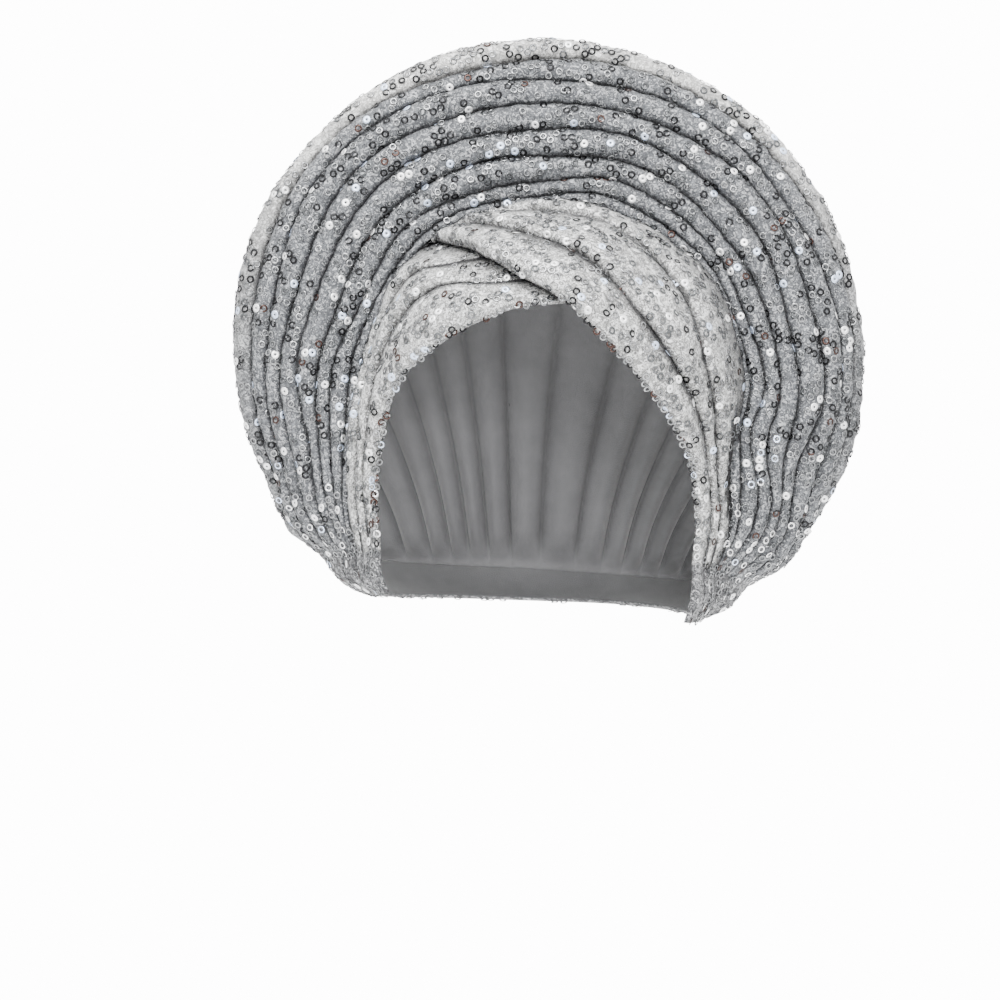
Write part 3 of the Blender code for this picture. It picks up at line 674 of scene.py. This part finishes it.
# %% The tree that sews the rings
def scatter_tree():
    tree, given, out = new_group(
        "Sew on rings", "GeometryNodeTree",
        {"Cloth": "Geometry", "Ring": "Object", "Glare ring": "Object", "Spacing": "Float",
         "Most per m2": "Float", "Tip": "Float", "Stand": "Float", "Seed": "Int",
         "Finish": "Material"}, {"Rings": "Geometry"})
    sewn = add_node(tree, "GeometryNodeInputNamedAttribute", {"Name": "sewn"})
    patch = add_node(tree, "ShaderNodeTexNoise", {"Scale": 120.0, "Detail": 1.0})
    spread = ramp(tree, patch.outputs["Fac"], 0.38, 0.56, 0.10, 1.0)
    points = add_node(tree, "GeometryNodeDistributePointsOnFaces", {
        "Mesh": given["Cloth"], "Distance Min": given["Spacing"],
        "Density Max": given["Most per m2"], "Seed": given["Seed"],
        "Density Factor": sum_of(tree, "MULTIPLY", spread, sewn.outputs["Attribute"]),
    }, distribute_method="POISSON")
    minus = sum_of(tree, "MULTIPLY", given["Tip"], -1.0)
    low = add_node(tree, "ShaderNodeCombineXYZ", {"X": minus, "Y": minus, "Z": -math.pi})
    high = add_node(tree, "ShaderNodeCombineXYZ",
                    {"X": given["Tip"], "Y": given["Tip"], "Z": math.pi})
    tip = add_node(tree, "FunctionNodeRandomValue", {
        0: low.outputs[0], 1: high.outputs[0], "Seed": given["Seed"]}, data_type="FLOAT_VECTOR")
    euler = add_node(tree, "FunctionNodeEulerToRotation", {0: tip.outputs[0]})
    turned = add_node(tree, "FunctionNodeRotateRotation", {
        "Rotation": points.outputs["Rotation"], "Rotate By": euler.outputs[0]},
        rotation_space="LOCAL")
    raised = add_node(tree, "ShaderNodeVectorMath", {
        0: points.outputs["Normal"], "Scale": given["Stand"]}, operation="SCALE")
    place = add_node(tree, "GeometryNodeSetPosition", {
        "Geometry": points.outputs["Points"], "Offset": raised.outputs[0]})
    tint = add_node(tree, "FunctionNodeRandomValue", {}).outputs[1]
    store = add_node(tree, "GeometryNodeStoreNamedAttribute", {
        "Geometry": place.outputs["Geometry"], "Name": "tint"}, data_type="FLOAT", domain="POINT")
    node_input(tree, store, "Value", tint)
    both_rings = tree.nodes.new("GeometryNodeJoinGeometry")
    for name in ("Glare ring", "Ring"):
        thing = add_node(tree, "GeometryNodeObjectInfo", {"Object": given[name]})
        whole = add_node(tree, "GeometryNodeGeometryToInstance", {0: thing.outputs["Geometry"]})
        tree.links.new(whole.outputs[0], both_rings.inputs[0])
    # rings past the glare tint get the glare ring, which the finish paints white as a highlight
    glare = add_node(tree, "FunctionNodeCompare", {0: tint, 1: GLARE_TINT})
    sew = add_node(tree, "GeometryNodeInstanceOnPoints", {
        "Points": store.outputs["Geometry"], "Instance": both_rings.outputs[0],
        "Pick Instance": True, "Instance Index": glare.outputs[0],
        "Rotation": turned.outputs[0]})
    return hand_out(tree, sew.outputs["Instances"], given, out)


sew_rings = scatter_tree()
print("tree inputs:", [item.name for item in sew_rings.interface.items_tree])

# %% [markdown]
# ## Finishes
# The cloth is crinkled tulle: white-silver, with a fine uneven surface. The crinkle, and the rings
# of a lower layer that show through it, are one node group that all the cloths use. Thin winding
# lines of noise give the dark threads and the small glints. The creases are darkened by the
# `fold` and `deep` attributes, as little light gets there.

# %% The crinkle group
def crinkle_group():
    tree, given, out = new_group(
        "Crinkled tulle", "ShaderNodeTree",
        {"Place": "Vector", "Crinkles per m": "Float", "Rings per m": "Float"},
        {"Height": "Float", "Tone": "Float", "Line": "Float", "Glint": "Float"})
    place, fine, rings = given[0], given[1], given[2]
    crinkle = add_node(tree, "ShaderNodeTexNoise", {
        "Vector": place, "Scale": fine, "Detail": 3.0, "Roughness": 0.65, "Distortion": 0.6})
    threads_and_glints = add_node(tree, "ShaderNodeTexNoise", {
        "Vector": place, "Scale": sum_of(tree, "MULTIPLY", fine, 0.78), "Detail": 0.6,
        "Roughness": 0.5, "Distortion": 1.6})

    def contour(value, level, near, far):
        """1 on a thin line where the value has this level, and 0 away from it."""
        away = sum_of(tree, "ABSOLUTE", sum_of(tree, "SUBTRACT", value, level))
        return ramp(tree, away, near, far, 1.0, 0.0)

    squiggle = contour(threads_and_glints.outputs["Fac"], 0.47, 0.03, 0.12)
    shine = contour(threads_and_glints.outputs["Fac"], 0.64, 0.02, 0.08)
    cell = add_node(tree, "ShaderNodeTexVoronoi", {
        "Vector": place, "Scale": rings, "Randomness": 0.8})
    outline = contour(cell.outputs["Distance"], 0.36, 0.02, 0.09)
    fleck = add_node(tree, "ShaderNodeTexNoise", {"Vector": place, "Scale": 1700.0, "Detail": 1.0})
    dots = ramp(tree, fleck.outputs["Fac"], 0.66, 0.72)
    tone = crinkle.outputs["Fac"]
    for name, value in (("Height", sum_of(tree, "MULTIPLY_ADD", squiggle, -0.35, tone)),
                        ("Tone", tone),
                        ("Line", sum_of(tree, "MULTIPLY_ADD", outline, 0.5, squiggle)),
                        ("Glint", sum_of(tree, "MULTIPLY_ADD", shine, 0.55, dots))):
        node_input(tree, out, name, value)
    return tree


crinkled = crinkle_group()
print("group outputs:", [item.name for item in crinkled.interface.items_tree])


# %% Cloth finishes
CRINKLES_PER_M, RINGS_PER_M = 620.0, 270.0
# the first two colours are a painted highlight, for the halo's rim where it faces the light above
RIM_HIGHLIGHT_SHADE, RIM_HIGHLIGHT_LIGHT, GLINT = (0.47, 0.465, 0.45), (0.82, 0.81, 0.78), (0.95, 0.95, 0.96)


def new_finish(name):
    made = bpy.data.materials.new(name)
    made.use_nodes = True
    return made, made.node_tree


def blend(tree, share, a, b, way="MIX"):
    """A colour between a and b, each a socket or three numbers."""
    a, b = (x if isinstance(x, bpy.types.NodeSocket) else (*x, 1) for x in (a, b))
    return add_node(tree, "ShaderNodeMix", {0: share, 6: a, 7: b}, data_type="RGBA",
                    blend_type=way).outputs[2]


def noted(tree, name):
    """What the mesh notes at each point under this name."""
    return add_node(tree, "ShaderNodeAttribute", {}, attribute_name=name).outputs["Fac"]


def noise(tree, place, scale, detail):
    return add_node(tree, "ShaderNodeTexNoise",
                    {"Vector": place, "Scale": scale, "Detail": detail}).outputs["Fac"]


def set_shader(tree, values):
    for socket, value in values.items():
        node_input(tree, tree.nodes["Principled BSDF"], socket, value)


def tulle(name, light, shade, dim, crease, seed, lines=0.75, glints=0.9, gather=0.60,
          clear=(0.0, 0.75)):
    """Silver tulle, mottled between its light and shade tones. Dim is painted shade beside a fold,
    and crease is painted shade deep in it, laid on at the share gather.
    """
    made, tree = new_finish(name)
    place = add_node(tree, "ShaderNodeTexCoord", {}).outputs["Object"]
    moved = add_node(tree, "ShaderNodeMapping", {"Vector": place, "Location": (seed, 0.0, seed)})
    group = add_node(tree, "ShaderNodeGroup", {}, node_tree=crinkled)
    for socket, value in (("Place", moved.outputs[0]), ("Crinkles per m", CRINKLES_PER_M),
                          ("Rings per m", RINGS_PER_M)):
        node_input(tree, group, socket, value)
    tone = ramp(tree, group.outputs["Tone"], 0.36, 0.64)
    # painted highlight: the rim's paler colours are mixed in where it faces the light above
    mottle = blend(tree, noted(tree, "rim_highlight"), blend(tree, tone, shade, light),
                   blend(tree, tone, RIM_HIGHLIGHT_SHADE, RIM_HIGHLIGHT_LIGHT))
    patch = noise(tree, place, 45.0, 2.0)
    mottle = blend(tree, ramp(tree, patch, 0.35, 0.65, 0.0, 0.22), mottle, shade)
    line = ramp(tree, group.outputs["Line"], 0.0, 1.0, 0.0, lines)
    lined = blend(tree, line, mottle, [0.25 * value for value in shade])
    glint = ramp(tree, group.outputs["Glint"], 0.0, 1.0, 0.0, glints)
    lined = blend(tree, glint, lined, GLINT)
    # painted shade: where fold is low, beside each crease, the colour is multiplied down towards
    # dim
    dimmed = blend(tree, 1.0, lined, dim, "MULTIPLY")
    colour = blend(tree, ramp(tree, noted(tree, "fold"), *clear), dimmed, lined)
    # painted shade: a broken dark line of crease colour along each crease, from deep
    broken = ramp(tree, noise(tree, place, 210.0, 2.0), 0.36, 0.60, 0.35, 1.0)
    uneven = sum_of(tree, "MULTIPLY", ramp(tree, noted(tree, "deep"), 0.08, 0.75), broken)
    colour = blend(tree, ramp(tree, uneven, 0.0, 1.0, 0.0, gather), colour, crease)
    bump = add_node(tree, "ShaderNodeBump", {"Strength": 0.8, "Distance": 0.0008,
                                             "Height": group.outputs["Height"]})
    set_shader(tree, {
        "Base Color": colour, "Roughness": ramp(tree, group.outputs["Tone"], 0.3, 0.7, 0.55, 0.32),
        "Normal": bump.outputs[0], "Metallic": 0.25, "Specular IOR Level": 0.2,
        "Sheen Weight": 0.05, "Sheen Roughness": 0.35})
    return made


# The halo and the bands are one cloth: the halo's darker colours are painted shade and the bands'
# paler ones painted light, as the bands face up towards the light above and the halo stands
# upright.
halo_finish = tulle("halo_tulle", light=(0.224, 0.235, 0.250), shade=(0.078, 0.081, 0.087),
                    dim=(0.13, 0.13, 0.135), crease=(0.008, 0.008, 0.009), seed=0.0, lines=0.5,
                    glints=0.45, gather=0.50)
band_finish = tulle("band_tulle", light=(0.80, 0.80, 0.78), shade=(0.26, 0.26, 0.257),
                    dim=(0.070, 0.070, 0.072), crease=(0.005, 0.005, 0.006), seed=0.4, lines=0.72,
                    gather=0.85, clear=(0.05, 0.95))
back_finish = tulle("back_tulle", light=(0.28, 0.285, 0.29), shade=(0.090, 0.090, 0.095),
                    dim=(0.14, 0.14, 0.145), crease=(0.026, 0.026, 0.028), seed=0.8, glints=0.6)


def inside_finish(name):
    """The cloth's plain back: soft grey net, with a fine weave and no rings. Its grey is darker
    than the front, in part its own duller colour and in part painted shade for the hollow inside,
    and darker still as painted shade where a fold turns away.
    """
    made, tree = new_finish(name)
    place = add_node(tree, "ShaderNodeTexCoord", {}).outputs["Object"]
    net = add_node(tree, "ShaderNodeTexVoronoi", {"Vector": place, "Scale": 1100.0},
                   feature="DISTANCE_TO_EDGE")
    cloud = blend(tree, noise(tree, place, 60.0, 3.0), (0.12, 0.12, 0.125), (0.19, 0.19, 0.195))
    # painted shade: darker where fold is low
    open_share = ramp(tree, noted(tree, "fold"), 0.0, 0.9)
    bump = add_node(tree, "ShaderNodeBump", {"Strength": 0.35, "Distance": 0.0004,
                                             "Height": net.outputs["Distance"]})
    set_shader(tree, {"Base Color": blend(tree, open_share, (0.045, 0.045, 0.047), cloud),
                      "Roughness": 0.7, "Normal": bump.outputs[0], "Sheen Weight": 0.3})
    return made


plain_inside = inside_finish("tulle_inside")
for piece, finish in ((halo, halo_finish), (upper, band_finish), (lower, band_finish),
                      (crown, back_finish), (collar, back_finish)):
    piece.data.materials.append(finish)
    piece.data.materials.append(plain_inside)


# %% Ring finish
SILVERS = ((0.36, (0.19, 0.195, 0.20)), (0.28, (0.11, 0.115, 0.12)), (0.36, (0.31, 0.315, 0.32)))
BLACK, COPPER = (0.002, 0.002, 0.003), (0.050, 0.022, 0.016)
# painted highlight: the whites for the glare of rings that catch the light
GLARE_BLUISH_WHITE, GLARE_WHITE = (0.72, 0.82, 1.0), (1.0, 1.0, 1.0)


def ring_finish(name, black, copper, outline):
    """Glossy plastic whose colour is picked by each ring's tint, with these dark shares."""
    made, tree = new_finish(name)
    tint = noted(tree, "tint")
    place = add_node(tree, "ShaderNodeTexCoord", {}).outputs["Object"]
    height = add_node(tree, "ShaderNodeSeparateXYZ", {0: place}).outputs["Z"]
    paler = sum_of(tree, "ADD", tint, ramp(tree, height, 0.075, 0.025, 0.0, 0.8 * black))
    picked = add_node(tree, "ShaderNodeValToRGB", {"Fac": paler})
    stops = picked.color_ramp.elements
    picked.color_ramp.interpolation = "CONSTANT"
    rest = GLARE_TINT - black - copper
    shares = ((black, BLACK), (copper, COPPER), *((share * rest, tone) for share, tone in SILVERS),
              (0.04, GLARE_BLUISH_WHITE), (0.07, GLARE_WHITE))
    at = 0.0
    for number, (share, tone) in enumerate(shares):
        stop = stops[0] if number == 0 else stops.new(at)
        stop.position, stop.color = at, (*tone, 1)
        at += share
    stops.remove(stops[-1])
    # painted shade: a dark outline on both rims, as strong as outline
    dark = ramp(tree, noted(tree, "edge"), 0.45, 1.0, 0.0, outline)
    colour = blend(tree, dark, picked.outputs[0], (0.016, 0.016, 0.018))
    # painted highlight: on some rings a lighter grey arc on the marked sides, the bright gap where
    # the gloss catches the light
    turn = sum_of(tree, "FRACT", sum_of(tree, "MULTIPLY", tint, 37.0))
    seen = ramp(tree, turn, 0.4, 0.8, 0.0, 0.85)
    threads_and_glints = ramp(tree, noted(tree, "glint_gap"), 0.80, 0.95, 0.0, seen)
    set_shader(tree, {
        "Base Color": blend(tree, threads_and_glints, colour, (0.32, 0.325, 0.335)),
        "Roughness": ramp(tree, tint, GLARE_TINT, GLARE_TINT + 0.001, 0.20, 0.45),
        "Metallic": 0.85, "Coat Weight": 0.25, "Coat Roughness": 0.12})
    return made


halo_ring_finish = ring_finish("halo_ring_sequins", black=0.27, copper=0.03, outline=0.95)
band_ring_finish = ring_finish("band_ring_sequins", black=0.09, copper=0.03, outline=0.85)
edge_ring_finish = ring_finish("edge_ring_sequins", black=0.20, copper=0.14, outline=0.85)
print("materials:", len(bpy.data.materials))

# %% [markdown]
# ## Sewing the rings on
# The rings sit on the outer skin only, so a seed mesh is made of each skin, without its rim. Its
# `sewn` attribute thins them out in the creases. The halo is done in two halves, to keep each
# piece light. Along the bands' edges at the face, rings are threaded in a row instead.

# %% The tree that threads an edge
def edge_tree():
    """Rings threaded one after another along a line, each turned to face outwards."""
    tree, given, out = new_group(
        "Rings along an edge", "GeometryNodeTree",
        {"Line": "Geometry", "Ring": "Object", "Step": "Float", "Tip": "Float", "Loose": "Float",
         "Seed": "Int", "Finish": "Material"}, {"Rings": "Geometry"})
    line = add_node(tree, "GeometryNodeMeshToCurve", {"Mesh": given["Line"]})
    even = add_node(tree, "GeometryNodeResampleCurve", {
        "Curve": line.outputs[0], "Length": given["Step"]}, mode="LENGTH")
    away = add_node(tree, "GeometryNodeInputNamedAttribute", {"Name": "out"},
                    data_type="FLOAT_VECTOR")
    tip = add_node(tree, "FunctionNodeRandomValue", {
        2: sum_of(tree, "MULTIPLY", given["Tip"], -1.0), 3: given["Tip"], "Seed": given["Seed"]},
        data_type="FLOAT")
    euler = add_node(tree, "ShaderNodeCombineXYZ", {"X": tip.outputs[1], "Y": tip.outputs[1]})
    lean = add_node(tree, "FunctionNodeEulerToRotation", {0: euler.outputs[0]})
    faced = add_node(tree, "FunctionNodeAlignRotationToVector", {"Vector": away.outputs[0]},
                     axis="Z")
    turned = add_node(tree, "FunctionNodeRotateRotation", {
        "Rotation": faced.outputs[0], "Rotate By": lean.outputs[0]}, rotation_space="LOCAL")
    thing = add_node(tree, "GeometryNodeObjectInfo", {"Object": given["Ring"]})
    stray = add_node(tree, "FunctionNodeRandomValue", {}, data_type="FLOAT_VECTOR")
    for index, sign in ((0, -1.0), (1, 1.0)):
        reach = sum_of(tree, "MULTIPLY", given["Loose"], sign)
        every = add_node(tree, "ShaderNodeCombineXYZ", {"X": reach, "Y": reach, "Z": reach})
        node_input(tree, stray, index, every.outputs[0])
    moved = add_node(tree, "GeometryNodeSetPosition", {
        "Geometry": even.outputs[0], "Offset": stray.outputs[0]})
    sew = add_node(tree, "GeometryNodeInstanceOnPoints", {
        "Points": moved.outputs[0], "Instance": thing.outputs["Geometry"],
        "Rotation": turned.outputs[0]})
    tint = add_node(tree, "FunctionNodeRandomValue", {"Seed": 9}).outputs[1]
    store = add_node(tree, "GeometryNodeStoreNamedAttribute", {
        "Geometry": sew.outputs[0], "Name": "tint"}, data_type="FLOAT", domain="INSTANCE")
    node_input(tree, store, "Value", tint)
    return hand_out(tree, store.outputs[0], given, out)


ring_line = edge_tree()
print("edge inputs:", [item.name for item in ring_line.interface.items_tree])


# %% Scatter, make plain, and tidy up
RING_STAND, EDGE_STAND, EDGE_STEP, EDGE_LOOSE = 0.00022, 0.0006, 0.0034, 0.0007
LOW_END, LOW_SPAN = 0.06, 0.035


def made_plain(carrier, name, tree, values):
    """Runs a tree on the carrier with these inputs, and keeps the result as a plain mesh."""
    sew = carrier.modifiers.new("sew", "NODES")
    sew.node_group = tree
    for item in tree.interface.items_tree:
        if item.name in values:
            sew[item.identifier] = values[item.name]
    bpy.context.view_layer.update()
    graph = bpy.context.evaluated_depsgraph_get()
    mesh = bpy.data.meshes.new_from_object(carrier.evaluated_get(graph))
    carrier.modifiers.clear()
    bpy.data.objects.remove(carrier)
    mesh.name = name
    piece = bpy.data.objects.new(name, mesh)
    bpy.context.collection.objects.link(piece)
    count = len(mesh.polygons) // (SECTION * RING_SIDES)
    print(name, count, "rings", len(mesh.polygons) * 2, "triangles")
    return piece


def rings_on(name, skin, fold, finish, spacing, most, seed, tip=0.22):
    """Rings over a skin: fewer in a crease, and as many as fit at the low ends by the ears."""
    low = ease((LOW_END - skin[..., 2]) / LOW_SPAN)
    sewn = np.maximum(0.45 + 0.55 * ease(fold / 0.5), low).astype(np.float32).ravel()
    seed_mesh = plain_mesh(name + "_seed", skin.reshape(-1, 3),
                           grid_faces(*skin.shape[:2], 0, False), {"sewn": sewn})
    return made_plain(seed_mesh, name, sew_rings, {
        "Ring": one_ring, "Glare ring": bright_ring, "Spacing": spacing, "Most per m2": most,
        "Tip": tip, "Stand": RING_STAND, "Seed": seed, "Finish": finish})


def edge_rings(name, skin, seed):
    """Rings along a band's edge round the face, the first column of its skin."""
    out = outward(skin)[:, 2]
    line = skin[:, 0] + out * EDGE_STAND
    mesh = bpy.data.meshes.new(name + "_line")
    mesh.from_pydata(line.tolist(), [(i, i + 1) for i in range(len(line) - 1)], [])
    way = mesh.attributes.new("out", "FLOAT_VECTOR", "POINT")
    way.data.foreach_set("vector", unit(out + [0, -0.4, 0]).astype(np.float32).ravel())
    carrier = bpy.data.objects.new(name + "_line", mesh)
    bpy.context.collection.objects.link(carrier)
    return made_plain(carrier, name, ring_line, {
        "Ring": one_ring, "Step": EDGE_STEP, "Tip": 0.35, "Loose": EDGE_LOOSE, "Seed": seed,
        "Finish": edge_ring_finish})


half = STATIONS // 2
halo_rings = [
    rings_on("halo_rings_left", halo_skin[: half + 1], halo_fold[: half + 1], halo_ring_finish,
             0.0028, 290000, 1, tip=0.17),
    rings_on("halo_rings_right", halo_skin[half:], halo_fold[half:], halo_ring_finish,
             0.0028, 290000, 2, tip=0.17),
]
upper_rings = rings_on("upper_band_rings", upper_skin, over[2], band_ring_finish,
                       0.0029, 230000, 3)
lower_rings = rings_on("lower_band_rings", lower_skin, under[2], band_ring_finish,
                       0.0029, 230000, 4)
crown_rings = rings_on("crown_rings", crown_skin, crown_fold, halo_ring_finish,
                       0.0042, 110000, 5)
collar_rings = rings_on("collar_rings", collar_skin, collar_fold, band_ring_finish,
                        0.0028, 320000, 6, tip=0.15)
notch_row = int(np.argmin(np.abs(upper_angles - (NOTCH - 2))))
upper_edge = edge_rings("upper_band_edge_rings", upper_skin[notch_row:], 7)
lower_edge = edge_rings("lower_band_edge_rings", lower_skin[:-1], 8)
for thing in (one_ring, bright_ring):
    bpy.data.objects.remove(thing)

# %% [markdown]
# Every piece rides on the part's one body. Each cloth takes the place of its plain solid, and
# the rings sewn on it ride with it. Its area is printed beside the size that it was cut to.

SEQUINED, BACK = "sequined_cloth", "sequined_cloth_back"
for piece, node, slot, rings, flat, held in (
    (halo, "halo", SEQUINED, halo_rings, (0.13, 0.50), "folded"),
    (upper, "upper_band", SEQUINED, [upper_rings, upper_edge], (0.055, 0.30), "folded"),
    (lower, "lower_band", SEQUINED, [lower_rings, lower_edge], (0.050, 0.17), "folded"),
    (crown, "crown", BACK, [crown_rings], (0.22, 0.42), "gathered"),
    (collar, "collar", BACK, [collar_rings], (0.030, 0.36), "stretched"),
):
    mesh = piece.data
    area = sum(face.area for face in mesh.polygons) / 2
    print(f"{piece.name}: {area:.4f} m2 of cloth, cut {flat[0] * flat[1]:.4f}")
    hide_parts(node)
    for part in (piece, *rings):
        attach(part, "root")

# %% [markdown]
# ## Floor, light and camera
# The studio is white all round. A broad soft light from the front and above models the rolls, and
# the floor lies well below, as the wrap is held up by its mount. The camera looks level at the
# front, as in the picture.

# %% Set the stage
FLOOR_RADIUS, FLOOR_HEIGHT, FLOOR_SIDES = 1.1, -0.45, 64
DISTANCE, M_PER_PIXEL, PIXELS, LIT_HEIGHT = 1.2, 0.4324e-3, 1000, 0.11

disc = bpy.data.meshes.new("floor")
turn = np.linspace(0, 2 * math.pi, FLOOR_SIDES, endpoint=False)
disc.from_pydata([(FLOOR_RADIUS * math.cos(t), FLOOR_RADIUS * math.sin(t), FLOOR_HEIGHT)
                  for t in turn], [], [range(FLOOR_SIDES)])
floor = bpy.data.objects.new("floor", disc)
bpy.context.collection.objects.link(floor)
pale_floor, tree = new_finish("pale_floor")
set_shader(tree, {"Base Color": (0.86, 0.86, 0.86, 1), "Roughness": 0.8})
disc.materials.append(pale_floor)

world = bpy.context.scene.world or bpy.data.worlds.new("studio")
bpy.context.scene.world = world
world.use_nodes = True
tree = world.node_tree
seen = add_node(tree, "ShaderNodeLightPath", {}).outputs["Is Camera Ray"]
toward = add_node(tree, "ShaderNodeTexCoord", {}).outputs["Generated"]
height = add_node(tree, "ShaderNodeSeparateXYZ", {0: toward}).outputs["Z"]
glow = add_node(tree, "ShaderNodeMix", {0: seen, 2: ramp(tree, height, -0.6, 1.0, 0.85, 3.9),
                                        3: 14.0}, data_type="FLOAT")
for socket, value in (("Color", (1, 1, 1, 1)), ("Strength", glow.outputs[0])):
    node_input(tree, tree.nodes["Background"], socket, value)


def soft_light(name, place, size, power):
    lamp = bpy.data.lights.new(name, "AREA")
    lamp.size, lamp.energy = size, power
    thing = bpy.data.objects.new(name, lamp)
    thing.location = place
    aim = Vector((0, 0, LIT_HEIGHT)) - Vector(place)
    thing.rotation_euler = aim.to_track_quat("-Z", "Y").to_euler()
    bpy.context.collection.objects.link(thing)


soft_light("key", (-0.35, -1.0, 1.5), 0.7, 50)
soft_light("front", (0.18, -1.7, 0.33), 0.35, 15)
soft_light("back", (0.3, 1.4, 1.0), 1.0, 22)

eye = bpy.data.cameras.new("camera")
eye.sensor_width, eye.lens = 36.0, 36 * DISTANCE / (PIXELS * M_PER_PIXEL)
camera = bpy.data.objects.new("camera", eye)
camera.location = (-0.0151, -DISTANCE, 0.043)
camera.rotation_euler = (math.radians(90), 0, 0)
bpy.context.collection.objects.link(camera)
bpy.context.scene.camera = camera
print("lens", round(eye.lens, 1), "mm")

# %% Update the scene and finish
bpy.context.view_layer.update()
